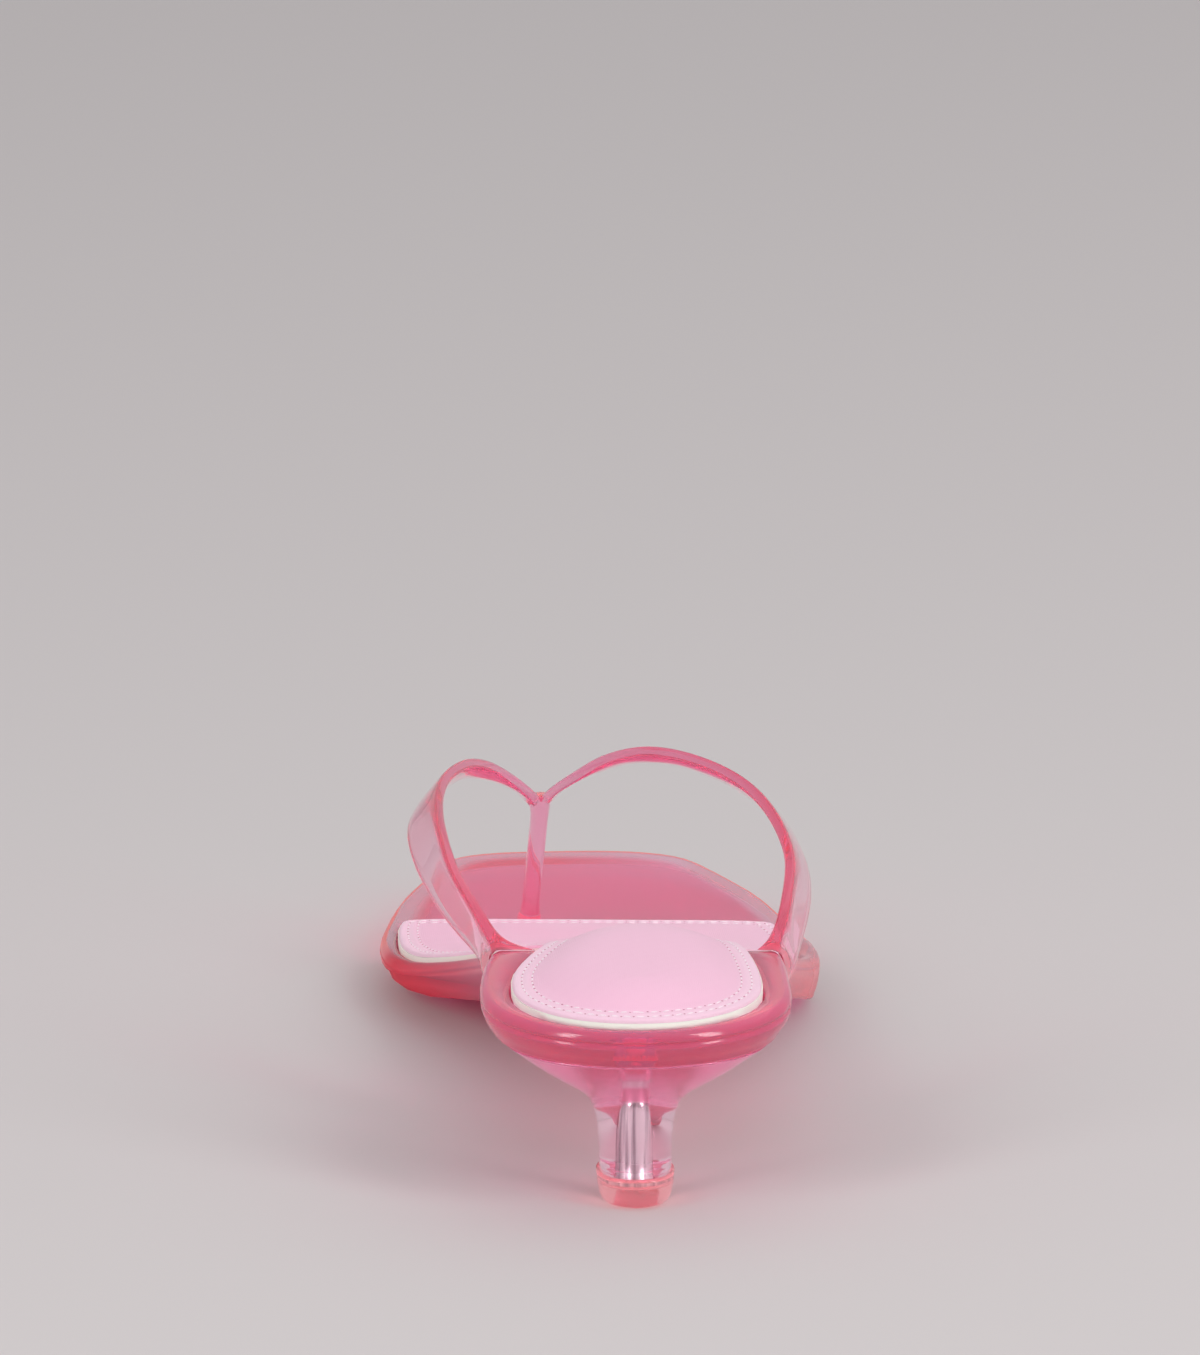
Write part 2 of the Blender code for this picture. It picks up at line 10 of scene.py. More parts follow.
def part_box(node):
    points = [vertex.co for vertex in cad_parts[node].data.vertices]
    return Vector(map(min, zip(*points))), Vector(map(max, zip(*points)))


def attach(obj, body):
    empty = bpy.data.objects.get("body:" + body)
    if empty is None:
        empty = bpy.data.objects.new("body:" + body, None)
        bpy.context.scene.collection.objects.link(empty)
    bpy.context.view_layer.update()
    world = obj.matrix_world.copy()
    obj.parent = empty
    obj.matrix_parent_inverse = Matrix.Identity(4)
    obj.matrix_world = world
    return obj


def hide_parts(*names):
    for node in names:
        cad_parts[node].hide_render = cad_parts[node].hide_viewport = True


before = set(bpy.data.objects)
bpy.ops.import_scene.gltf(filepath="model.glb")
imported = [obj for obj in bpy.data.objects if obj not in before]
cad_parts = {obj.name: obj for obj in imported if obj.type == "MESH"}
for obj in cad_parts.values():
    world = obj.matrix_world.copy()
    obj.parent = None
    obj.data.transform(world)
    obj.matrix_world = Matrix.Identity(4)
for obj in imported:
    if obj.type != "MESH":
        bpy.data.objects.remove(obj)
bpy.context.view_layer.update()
mm = 0.001
print("frame loaded:", sorted(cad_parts))


# Camera, at the photo's angle behind the heel

photoView = {
    "size": (1200, 1355),  # pixels of the photo
    "azimuth": 2.8,  # degrees that the camera stands to the left of straight behind
    "elevation": 16.1,  # degrees that it looks down
    "distance": 2.4,  # m, to the target
    "target": (0.0, -0.0945, 0.020),  # m, inside the heel
    "targetPixel": (632.2, 1091.1),  # where the target shows in the photo
    "scale": 4940.0,  # pixels to the metre at the target
    "sensor": 36.0,  # mm, along the photo's longer side
    "clipEnd": 20.0,  # m
}


def makeCamera(v):
    turn, dip = math.radians(v["azimuth"]), math.radians(v["elevation"])
    ahead = Vector((math.sin(turn) * math.cos(dip), math.cos(turn) * math.cos(dip), -math.sin(dip)))
    right = Vector((math.cos(turn), -math.sin(turn), 0.0))
    up = right.cross(ahead)
    focal = v["scale"] * v["distance"]  # pixels
    wide, high = v["size"]
    px, py = v["targetPixel"]
    aim = ahead + right * ((wide / 2 - px) / focal) + up * ((py - high / 2) / focal)
    data = bpy.data.cameras.new("photoCamera")
    data.sensor_width = v["sensor"]
    data.lens = v["sensor"] * focal / high
    data.clip_end = v["clipEnd"]
    camera = bpy.data.objects.new("photoCamera", data)
    camera.location = Vector(v["target"]) - ahead * v["distance"]
    camera.rotation_euler = aim.to_track_quat("-Z", "Y").to_euler()
    bpy.context.scene.collection.objects.link(camera)
    bpy.context.scene.camera = camera


makeCamera(photoView)
print("camera placed")


# Node helpers

mixSockets = {"FLOAT": (2, 3, 0), "RGBA": (6, 7, 2)}  # both inputs and the output of a Mix node


def blankMaterial(name):
    material = bpy.data.materials.new(name)
    material.use_nodes = True
    tree = material.node_tree
    tree.nodes.clear()
    return material, tree.nodes, tree.links


def addNode(nodes, kind, values=None, **settings):
    node = nodes.new(kind)
    for key, value in settings.items():
        setattr(node, key, value)
    for key, value in (values or {}).items():
        node.inputs[key].default_value = value
    return node


def rgba(colour):
    return (*colour, 1.0)


def mixed(nodes, links, share, first, second, kind="RGBA"):
    # mix of two colours or two numbers, each of which is a value or a socket
    node = addNode(nodes, "ShaderNodeMix", data_type=kind)
    firstInput, secondInput, result = mixSockets[kind]
    links.new(share, node.inputs[0])
    for place, source in ((firstInput, first), (secondInput, second)):
        if isinstance(source, bpy.types.NodeSocket):
            links.new(source, node.inputs[place])
        else:
            node.inputs[place].default_value = rgba(source) if kind == "RGBA" else source
    return node.outputs[result]


def ramp(nodes, links, value, limits, ends=(0.0, 1.0), kind="SMOOTHSTEP"):
    # number that goes from one end to the other as a value goes from one limit to the other
    node = addNode(nodes, "ShaderNodeMapRange", {
        "From Min": limits[0], "From Max": limits[1], "To Min": ends[0], "To Max": ends[1]},
        interpolation_type=kind)
    links.new(value, node.inputs["Value"])
    return node.outputs["Result"]


def heightShare(nodes, links, levels):
    # 0 below the lower level of the piece and 1 above the upper one, in mm above the floor
    place = addNode(nodes, "ShaderNodeTexCoord")
    parts = addNode(nodes, "ShaderNodeSeparateXYZ")
    links.new(place.outputs["Object"], parts.inputs["Vector"])
    return ramp(nodes, links, parts.outputs["Z"], (levels[0] * mm, levels[1] * mm))


# Floor and soft studio light

studio = {
    "floorHalf": 6.0,  # m
    "floorDrop": 0.00015,  # m below the sole, so that the two faces don't meet
    "floorColour": (0.635, 0.604, 0.610), "floorRoughness": 0.75, "floorGloss": 0.2,
    "skyColour": (1.0, 0.985, 0.99), "skyStrength": 0.505,
    "darkShare": 0.38, "darkLimits": (-0.9, -0.35),  # the wall behind the camera is darker
    "lamps": (
        # name, place, width and height, power, colour
        ("softboxOverhead", (0.50, 0.50, 1.7), (2.6, 2.6), 7.2, (1.0, 0.98, 0.97)),
        ("softboxLeft", (-1.30, -1.05, 0.95), (0.42, 1.25), 12.0, (1.0, 0.99, 0.98)),
        ("softboxRight", (1.30, -1.10, 1.05), (0.48, 1.35), 17.5, (1.0, 0.99, 0.98)),
    ),
    "lampTarget": (0.0, 0.0, 0.03),
    # times that light may turn on its way through the jelly, and its brightest echo
    "allBounces": 24, "clearBounces": 20, "glossBounces": 12, "filmBounces": 32, "echoLimit": 6.0,
}


def floorPaint(s):
    material, nodes, links = blankMaterial("paleFloor")
    out = addNode(nodes, "ShaderNodeOutputMaterial")
    shader = addNode(nodes, "ShaderNodeBsdfPrincipled", {
        "Base Color": rgba(s["floorColour"]), "Roughness": s["floorRoughness"],
        "Specular IOR Level": s["floorGloss"]})
    links.new(shader.outputs["BSDF"], out.inputs["Surface"])
    return material


def makeStudio(s):
    scene = bpy.context.scene
    bm = bmesh.new()
    bmesh.ops.create_grid(bm, x_segments=1, y_segments=1, size=s["floorHalf"])
    bmesh.ops.translate(bm, verts=bm.verts, vec=(0, 0, -s["floorDrop"]))
    mesh = bpy.data.meshes.new("studioFloor")
    bm.to_mesh(mesh)
    bm.free()
    mesh.materials.append(floorPaint(s))
    floor = bpy.data.objects.new("studioFloor", mesh)
    scene.collection.objects.link(floor)
    for name, place, size, power, colour in s["lamps"]:
        data = bpy.data.lights.new(name, "AREA")
        data.shape = "RECTANGLE"
        data.size, data.size_y = size
        data.energy = power
        data.color = colour
        lamp = bpy.data.objects.new(name, data)
        lamp.location = place
        aim = Vector(s["lampTarget"]) - Vector(place)
        lamp.rotation_euler = aim.to_track_quat("-Z", "Y").to_euler()
        scene.collection.objects.link(lamp)
    world = bpy.data.worlds.new("studioSky")
    world.use_nodes = True
    nodes, links = world.node_tree.nodes, world.node_tree.links
    sky = nodes["Background"]
    sky.inputs["Color"].default_value = rgba(s["skyColour"])
    look = addNode(nodes, "ShaderNodeTexCoord")
    parts = addNode(nodes, "ShaderNodeSeparateXYZ")
    links.new(look.outputs["Generated"], parts.inputs["Vector"])
    strength = ramp(nodes, links, parts.outputs["Y"], s["darkLimits"],
                    (s["darkShare"] * s["skyStrength"], s["skyStrength"]))
    links.new(strength, sky.inputs["Strength"])
    scene.world = world
    scene.view_settings.view_transform = "Standard"
    scene.cycles.use_denoising = True
    scene.cycles.max_bounces = s["allBounces"]
    scene.cycles.transmission_bounces = s["clearBounces"]
    scene.cycles.glossy_bounces = s["glossBounces"]
    scene.cycles.transparent_max_bounces = s["filmBounces"]
    scene.cycles.volume_bounces = 0
    scene.cycles.sample_clamp_indirect = s["echoLimit"]


makeStudio(studio)
print("studio lit")


# Finishes

def skinBump(nodes, links, waves):
    # slow unevenness of the moulding and a finer grain, as one bump with its depth in m
    slowScale, fineScale, fineShare, depth = waves
    place = addNode(nodes, "ShaderNodeTexCoord")
    slow = addNode(nodes, "ShaderNodeTexNoise", {"Scale": slowScale, "Detail": 1.0})
    fine = addNode(nodes, "ShaderNodeTexNoise", {"Scale": fineScale, "Detail": 2.0})
    both = addNode(nodes, "ShaderNodeMath", {1: fineShare}, operation="MULTIPLY_ADD")
    bump = addNode(nodes, "ShaderNodeBump", {"Strength": 1.0, "Distance": depth})
    links.new(place.outputs["Object"], slow.inputs["Vector"])
    links.new(place.outputs["Object"], fine.inputs["Vector"])
    links.new(fine.outputs["Fac"], both.inputs[0])
    links.new(slow.outputs["Fac"], both.inputs[2])
    links.new(both.outputs["Value"], bump.inputs["Height"])
    return bump.outputs["Normal"]


def rimShares(nodes, links, look):
    # shares of the toe's edge, painted orange for the light that runs along it, and of the band inside it,
    # painted pale for the light seen through it, from the distance to the outline
    rim = addNode(nodes, "ShaderNodeAttribute", attribute_name="toeRim")
    parts = addNode(nodes, "ShaderNodeSeparateColor")
    links.new(rim.outputs["Color"], parts.inputs["Color"])
    shares = []
    for source, limits, most in (("Red", look["edgeFade"], look["edgeShare"]),
                                 ("Green", look["bandFade"], 1.0)):
        product = addNode(nodes, "ShaderNodeMath", operation="MULTIPLY")
        links.new(ramp(nodes, links, parts.outputs[source], limits, (most, 0.0)), product.inputs[0])
        links.new(parts.outputs["Blue"], product.inputs[1])
        shares.append(product.outputs["Value"])
    return shares


def clearJelly(name, look):
    material, nodes, links = blankMaterial(name)
    out = addNode(nodes, "ShaderNodeOutputMaterial")
    # the emission is a painted glow, standing in for light scattered inside the jelly, which gives off none
    # of its own
    shader = addNode(nodes, "ShaderNodeBsdfPrincipled", {
        "Base Color": rgba(look["tint"]), "Transmission Weight": look["clear"], "IOR": look["ior"],
        "Roughness": look["roughness"], "Coat Weight": look["coat"],
        "Coat Roughness": look["coatRoughness"],
        "Emission Color": rgba(look["paintedGlow"]), "Emission Strength": look["paintedGlowStrength"]})
    links.new(skinBump(nodes, links, look["waves"]), shader.inputs["Normal"])
    # the colours that the mesh carries hold painted light and shade
    if "edgeTint" in look:  # the mesh carries its colours
        skin = addNode(nodes, "ShaderNodeAttribute", attribute_name="paintedLightTint").outputs["Color"]
        if "bandTint" in look:  # and, on the sole, its finish
            feel = addNode(nodes, "ShaderNodeAttribute", attribute_name="skinFeel").outputs["Color"]
            # the edge's painted glow and the band's painted paleness go over the tint
            edge, band = rimShares(nodes, links, look)
            for part, share in (("band", band), ("edge", edge)):
                skin = mixed(nodes, links, share, skin, look[part + "Tint"])
                feel = mixed(nodes, links, share, feel, look[part + "Feel"])
            shares = addNode(nodes, "ShaderNodeSeparateColor")
            links.new(feel, shares.inputs["Color"])
            links.new(shares.outputs["Red"], shader.inputs["Transmission Weight"])
            links.new(shares.outputs["Green"], shader.inputs["Roughness"])
            links.new(shares.outputs["Blue"], shader.inputs["Coat Weight"])
        links.new(skin, shader.inputs["Base Color"])
    # on the heel a painted pink at the top stands in for the sole's pink light
    if "paintedTopTint" in look:  # colour and roughness change with the height
        share = heightShare(nodes, links, look["tintLevels"])
        skin = mixed(nodes, links, share, look["tint"], look["paintedTopTint"])
        links.new(skin, shader.inputs["Base Color"])
        share = heightShare(nodes, links, look["dullLevels"])
        dull = ramp(nodes, links, share, (0.0, 1.0), (look["roughness"], look["topRoughness"]), "LINEAR")
        links.new(dull, shader.inputs["Roughness"])
    film = addNode(nodes, "ShaderNodeBsdfTransparent", {"Color": rgba(look["lampTint"])})
    ray = addNode(nodes, "ShaderNodeLightPath")
    pick = addNode(nodes, "ShaderNodeMixShader")
    links.new(ray.outputs["Is Shadow Ray"], pick.inputs[0])  # light that falls through is only tinted
    links.new(shader.outputs["BSDF"], pick.inputs[1])
    links.new(film.outputs["BSDF"], pick.inputs[2])
    links.new(pick.outputs["Shader"], out.inputs["Surface"])
    dye = addNode(nodes, "ShaderNodeVolumeAbsorption", {
        "Color": rgba(look["dye"]), "Density": look["density"]})
    links.new(dye.outputs["Volume"], out.inputs["Volume"])
    return material


def solidFinish(name, look):
    material, nodes, links = blankMaterial(name)
    out = addNode(nodes, "ShaderNodeOutputMaterial")
    # the emission, where a part has one, is a painted glow in the part's own colour, though the part is no
    # lamp
    shader = addNode(nodes, "ShaderNodeBsdfPrincipled", {
        "Base Color": rgba(look["colour"]), "Roughness": look["roughness"],
        "Emission Color": rgba(look["colour"]), "Emission Strength": look.get("paintedGlowStrength", 0.0)})
    if "waves" in look:
        links.new(skinBump(nodes, links, look["waves"]), shader.inputs["Normal"])
    links.new(shader.outputs["BSDF"], out.inputs["Surface"])
    return material


def turnedSteel(name, look):
    # bright steel with fine streaks along its axis, painted pink and dull where the heel's pink top covers
    # it, for the pink light of the jelly seen over it
    material, nodes, links = blankMaterial(name)
    out = addNode(nodes, "ShaderNodeOutputMaterial")
    shader = addNode(nodes, "ShaderNodeBsdfPrincipled", {"Metallic": 1.0})
    place = addNode(nodes, "ShaderNodeTexCoord")
    stretch = addNode(nodes, "ShaderNodeMapping", {"Scale": look["streakScale"]})
    streaks = addNode(nodes, "ShaderNodeTexNoise", {"Scale": 1.0, "Detail": 2.0})
    bump = addNode(nodes, "ShaderNodeBump", {"Strength": 1.0, "Distance": look["streakDepth"]})
    links.new(place.outputs["Object"], stretch.inputs["Vector"])
    links.new(stretch.outputs["Vector"], streaks.inputs["Vector"])
    links.new(streaks.outputs["Fac"], bump.inputs["Height"])
    paintedPink = heightShare(nodes, links, look["paintedPinkLevels"])
    end = heightShare(nodes, links, look["endLevels"])
    foot = heightShare(nodes, links, look["footLevels"])
    bright = ramp(nodes, links, streaks.outputs["Fac"], look["streakLevels"], kind="LINEAR")
    tone = mixed(nodes, links, bright, look["darkColour"], look["colour"])
    tone = mixed(nodes, links, paintedPink, tone, look["paintedPinkColour"])
    tone = mixed(nodes, links, end, tone, look["colour"])
    dull = ramp(nodes, links, streaks.outputs["Fac"], (0.0, 1.0), look["roughness"], "LINEAR")
    dull = mixed(nodes, links, foot, look["footRoughness"], dull, "FLOAT")
    dull = mixed(nodes, links, paintedPink, dull, look["paintedPinkRoughness"], "FLOAT")
    links.new(tone, shader.inputs["Base Color"])
    links.new(dull, shader.inputs["Roughness"])
    links.new(bump.outputs["Normal"], shader.inputs["Normal"])
    links.new(shader.outputs["BSDF"], out.inputs["Surface"])
    return material


# Ways of making a piece from its CAD node

mergeGap = 0.002  # mm, under which two points become one
quadAngles = (30.0, 120.0)  # degrees of bend and of skew up to which two triangles become a quad


def mergedCopy(node):
    bm = bmesh.new()
    bm.from_mesh(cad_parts[node].data)
    bmesh.ops.remove_doubles(bm, verts=bm.verts, dist=mergeGap * mm)
    for face in bm.faces:
        face.smooth = True
        face.material_index = 0
    return bm


def quadCopy(node, creaseAngle):
    # triangles joined back into quads, with the sharp edges creased for subdivision
    bm = mergedCopy(node)
    bend, skew = quadAngles
    bmesh.ops.join_triangles(bm, faces=bm.faces, angle_face_threshold=math.radians(bend),
                             angle_shape_threshold=math.radians(skew))
    crease = bm.edges.layers.float.new("crease_edge")
    for edge in bm.edges:
        if edge.calc_face_angle(0.0) > math.radians(creaseAngle):
            edge[crease] = 1.0
    return bm


def makePiece(name, bm, materials, replaced=()):
    mesh = bpy.data.meshes.new(name)
    bm.to_mesh(mesh)
    bm.free()
    for material in materials:
        mesh.materials.append(material)
    piece = bpy.data.objects.new(name, mesh)
    bpy.context.scene.collection.objects.link(piece)
    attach(piece, "root")
    if replaced:
        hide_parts(*replaced)
    return piece


def roundOff(piece, levels):
    skin = piece.modifiers.new("roundedSkin", "SUBSURF")
    skin.levels = skin.render_levels = levels
    skin.uv_smooth = "NONE"
    skin.boundary_smooth = "PRESERVE_CORNERS"


def spunBody(profile, axis, steps):
    # closed body turned from a profile of (radius, height) rows, in mm, about an upright axis
    bm = bmesh.new()
    points = [bm.verts.new((axis[0] + radius * mm, axis[1], height * mm)) for radius, height in profile]
    edges = [bm.edges.new(pair) for pair in zip(points, points[1:])]
    bmesh.ops.spin(bm, geom=points + edges, cent=(axis[0], axis[1], 0), axis=(0, 0, 1), dvec=(0, 0, 0),
                   angle=math.tau, steps=steps, use_merge=True)
    bmesh.ops.remove_doubles(bm, verts=bm.verts, dist=mergeGap * mm)
    bmesh.ops.recalc_face_normals(bm, faces=bm.faces)
    for face in bm.faces:
        face.smooth = True
    return bm


def smoothShare(value, limits):
    share = min(max((value - limits[0]) / (limits[1] - limits[0]), 0.0), 1.0)
    return share * share * (3 - 2 * share)


# Sole

soleJelly = {
    # colours, as painted light and shade, of level and of upright faces at the heel, of the toe, its inner
    # side (deep red for shade) and outer side (pale for light), its edge and the band inside that edge
    "tint": (1.0, 0.35, 0.46), "wallTint": (1.0, 0.41, 0.72),
    "toeTint": (0.84, 0.46, 0.61), "toeInnerTint": (0.72, 0.05, 0.09), "toeOuterTint": (0.84, 0.74, 0.78),
    "edgeTint": (1.0, 0.15, 0.11), "bandTint": (0.68, 0.50, 0.61),
    # the same places' share that is clear, roughness and share of gloss
    "feel": (0.60, 0.18, 0.15), "wallFeel": (0.78, 0.15, 0.12),
    "toeFeel": (0.86, 0.07, 0.1), "toeInnerFeel": (0.66, 0.6, 0.0), "toeOuterFeel": (0.80, 0.3, 0.1),
    "edgeFeel": (0.20, 0.35, 0.0), "bandFeel": (0.50, 0.1, 0.5),
    "clear": 0.72, "roughness": 0.18, "coat": 0.4,  # typical values, which the places' own replace
    "ior": 1.45, "coatRoughness": 0.03,
    # the glow is painted light, standing in for light scattered inside the jelly
    "lampTint": (1.0, 0.76, 0.85), "paintedGlow": (1.0, 0.17, 0.36), "paintedGlowStrength": 0.028,
    "dye": (0.985, 0.10, 0.55), "density": 52.0, "waves": (45.0, 700.0, 0.03, 0.00004),
    "sharpAngle": 40.0,  # degrees
    # mm past which an edge is cut and its cuts, so that the colours can change across the toe
    "longEdge": 14.0, "cuts": 11,
    "toeFrom": -40.0, "toeTo": 40.0,  # mm along the shoe, where the colours of the toe set in
    "frontFrom": 40.0, "frontTo": 62.0,  # mm along the shoe, where the toe's edge and band set in
    "levelSlopes": (0.86, 0.992),  # upward share of the normals, from upright to level
    "innerSlopes": (0.95, 0.999),  # the same on the inner side of the toe, whose edge is a long slope
    "outerFrom": -10.0, "outerTo": 25.0,  # mm across the shoe, from its inner to its outer side
    "frontEdge": 2.1, "sideEdge": 0.9,  # mm, widths of the edge
    "edgeFade": (0.8, 1.2), "edgeShare": 0.9,  # in widths of the edge, and its strength
    "bandFade": (3.5, 7.5),  # mm in from the outline
    "outlineSlope": 0.2, "outlineSamples": 8,  # upward share of its normals, and points on each edge
    "spineEnds": (-80.0, 80.0),  # mm along the shoe, of the line that the outer faces look away from
}


def outlineTree(bm, look):
    # points along the upright outer edges, for the distance to the outline, with the edge's width there
    back, front = look["spineEnds"]

    def isOuter(vert):
        spine = Vector((0.0, min(max(vert.co.y, back * mm), front * mm), vert.co.z))
        return abs(vert.normal.z) < look["outlineSlope"] and vert.normal.dot(vert.co - spine) > 0

    spots, widths = [], []
    for edge in bm.edges:
        a, b = edge.verts
        if isOuter(a) and isOuter(b):
            ahead = abs(a.normal.y + b.normal.y) / 2
            for k in range(look["outlineSamples"]):
                spots.append(a.co.lerp(b.co, k / look["outlineSamples"]).xy.to_3d())
                widths.append(look["sideEdge"] + (look["frontEdge"] - look["sideEdge"]) * ahead)
    tree = KDTree(len(spots))
    for i, spot in enumerate(spots):
        tree.insert(spot, i)
    tree.balance()
    return tree, widths


def makeSole(look):
    bm = quadCopy("sole", look["sharpAngle"])
    wide = [edge for edge in bm.edges if edge.calc_length() > look["longEdge"] * mm]
    bmesh.ops.subdivide_edges(bm, edges=wide, cuts=look["cuts"], use_grid_fill=True)
    bm.normal_update()
    outline, widths = outlineTree(bm, look)
    # each point's tint is painted light and shade by place, from which way its face looks and which side of
    # the toe it is on
    tint = bm.verts.layers.float_color.new("paintedLightTint")
    feel = bm.verts.layers.float_color.new("skinFeel")
    rim = bm.verts.layers.float_color.new("toeRim")
    for vert in bm.verts:
        along = vert.co.y / mm
        toe = min(max((along - look["toeFrom"]) / (look["toeTo"] - look["toeFrom"]), 0.0), 1.0)
        front = smoothShare(along, (look["frontFrom"], look["frontTo"])) * (vert.normal.z > 0)
        outer = smoothShare(vert.co.x / mm, (look["outerFrom"], look["outerTo"]))
        level = smoothShare(abs(vert.normal.z), look["levelSlopes"])
        inner = smoothShare(abs(vert.normal.z), look["innerSlopes"])
        level += (inner - level) * (1 - outer) * toe
        nearest, gap = outline.find(vert.co.xy.to_3d())[1:]
        vert[rim] = (gap / mm / widths[nearest], gap / mm, front, 1.0)
        for layer, kind in ((tint, "Tint"), (feel, "Feel")):
            heel = Vector(look["wall" + kind]).lerp(Vector(look[kind.lower()]), level)
            side = Vector(look["toeInner" + kind]).lerp(Vector(look["toeOuter" + kind]), outer)
            tip = side.lerp(Vector(look["toe" + kind]), level)
            vert[layer] = (*heel.lerp(tip, toe), 1.0)
    piece = makePiece("soleJelly", bm, [clearJelly("pinkJelly", look)], ["sole"])
    piece.data.set_sharp_from_angle(angle=math.radians(look["sharpAngle"]))


makeSole(soleJelly)
print("sole made")


# Straps and toe post, with the faces that are fused to the sole in a colour of their own

strapJelly = {
    # the narrow sides are painted deeper pink, for the light that runs across the strap inside it
    "tint": (1.0, 0.94, 0.96), "edgeTint": (1.0, 0.50, 0.60),  # of the flat and of the narrow sides
    "edgeSlopes": (0.45, 0.9),  # upward share of the normals, from the flat to the narrow sides
    "edgeEnds": (0.0, 30.0),  # mm along the shoe, where the straps turn level and the narrow sides fade
    "clear": 0.95, "roughness": 0.04, "ior": 1.45, "lampTint": (1.0, 0.90, 0.93),
    # the glow is painted light, standing in for light scattered inside the jelly
    "coat": 0.5, "coatRoughness": 0.03, "paintedGlow": (1.0, 0.16, 0.32), "paintedGlowStrength": 0.018,
    "dye": (0.985, 0.10, 0.48), "density": 130.0, "waves": (45.0, 700.0, 0.03, 0.00004),
    "weldReach": 0.45,  # mm from the sole
    "weld": {"colour": (0.80, 0.16, 0.27), "roughness": 0.35},
    "creaseAngle": 50.0, "levels": 1,
}


def makeStraps(look):
    soleTree = BVHTree.FromBMesh(mergedCopy("sole"))
    bm = quadCopy("upper", look["creaseAngle"])
    for face in bm.faces:
        if all(soleTree.find_nearest(v.co)[3] < look["weldReach"] * mm for v in face.verts):
            face.material_index = 1
    bm.normal_update()
    # painted light: the narrow sides deeper pink, fading where the straps turn level
    tint = bm.verts.layers.float_color.new("paintedLightTint")
    for vert in bm.verts:
        narrow = smoothShare(abs(vert.normal.z), look["edgeSlopes"])
        narrow *= 1 - smoothShare(vert.co.y / mm, look["edgeEnds"])
        vert[tint] = (*Vector(look["tint"]).lerp(Vector(look["edgeTint"]), narrow), 1.0)
    finishes = [clearJelly("strapPinkJelly", look), solidFinish("fusedRoot", look["weld"])]
    piece = makePiece("strapJelly", bm, finishes, ["upper"])
    roundOff(piece, look["levels"])


makeStraps(strapJelly)
print("straps made")


# Heel block, glued under the sole by its top face, which is painted pink with a painted glow

heelJelly = {
    # painted pink at its top, for the sole's pink light that shows through it, and dull there, with the
    # change in mm above the floor
    "tint": (1.0, 0.80, 0.88), "paintedTopTint": (1.0, 0.52, 0.70), "tintLevels": (24.0, 32.0),
    "roughness": 0.03, "topRoughness": 0.20, "dullLevels": (18.0, 26.0),
    "clear": 0.94, "ior": 1.45, "lampTint": (1.0, 0.93, 0.96), "coat": 0.5, "coatRoughness": 0.03,
    # the glow is painted light, standing in for light scattered inside the jelly
    "paintedGlow": (1.0, 0.30, 0.50), "paintedGlowStrength": 0.03,
    "dye": (0.985, 0.45, 0.70), "density": 8.0, "waves": (45.0, 700.0, 0.03, 0.00003),
    # its top face is painted pink and glowing, for the sole's pink light that shows through it
    "paintedGlowFace": {"colour": (1.0, 0.54, 0.72), "roughness": 0.4, "paintedGlowStrength": 0.18},
    "paintedFaceDepth": 0.1,  # mm below the top
    "paintedFaceInset": 0.7,  # mm from the rim
    "creaseAngle": 50.0, "levels": 2,
}


def makeHeel(look):
    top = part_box("heel")[1][2]
    bm = quadCopy("heel", look["creaseAngle"])
    flat = [face for face in bm.faces if min(v.co.z for v in face.verts) > top - look["paintedFaceDepth"] * mm]
    bmesh.ops.inset_region(bm, faces=flat, thickness=look["paintedFaceInset"] * mm, use_even_offset=True)
    # the top face gets the painted pink glow
    for face in flat:
        face.material_index = 1
    finishes = [clearJelly("clearPaleJelly", look), solidFinish("pinkPaintedGlow", look["paintedGlowFace"])]
    piece = makePiece("heelJelly", bm, finishes, ["heel"])
    roundOff(piece, look["levels"])


makeHeel(heelJelly)
print("heel made")


# Top lift, dowel and plug

topLift = {
    "tint": (1.0, 0.62, 0.66), "clear": 0.8, "roughness": 0.12, "ior": 1.45, "lampTint": (1.0, 0.8, 0.8),
    # the glow is painted light, standing in for light scattered inside the rubber
    "coat": 0.2, "coatRoughness": 0.15, "paintedGlow": (1.0, 0.38, 0.42), "paintedGlowStrength": 0.035,
    "dye": (0.985, 0.5, 0.52), "density": 30.0, "waves": (60.0, 1200.0, 0.2, 0.00008),
    "creaseAngle": 50.0, "levels": 2,
}


def makeLift(look):
    bm = quadCopy("heel_tip", look["creaseAngle"])
    piece = makePiece("topLift", bm, [clearJelly("salmonRubber", look)], ["heel_tip"])
    roundOff(piece, look["levels"])


makeLift(topLift)

dowel = {
    "radius": 1.85, "flangeRadius": 3.7, "flangeHeight": 1.8, "chamfer": 0.35,  # mm
    "bedding": 0.34,  # mm, out to the jelly that was moulded round it
    "ringPitch": 0.42, "ringDepth": 0.03, "ringsFrom": 3.0, "ringsTo": 7.0,  # mm above the foot
    "ringShare": 0.4,  # of the pitch, where a ring is deepest
    "steps": 48, "sharpAngle": 30.0,
    "finish": {
        "colour": (0.97, 0.95, 0.97), "darkColour": (0.40, 0.34, 0.39), "roughness": (0.06, 0.2),
        "streakScale": (1200.0, 1200.0, 26.0), "streakLevels": (0.38, 0.56), "streakDepth": 0.00003,
        # mm above the floor, for the stretch painted pink, the bare end over it and the duller foot
        "paintedPinkColour": (0.93, 0.40, 0.60), "paintedPinkLevels": (22.4, 24.2), "paintedPinkRoughness": 0.6,
        "endLevels": (27.6, 28.4),
        "footRoughness": 0.4, "footLevels": (7.0, 10.0),
    },
}


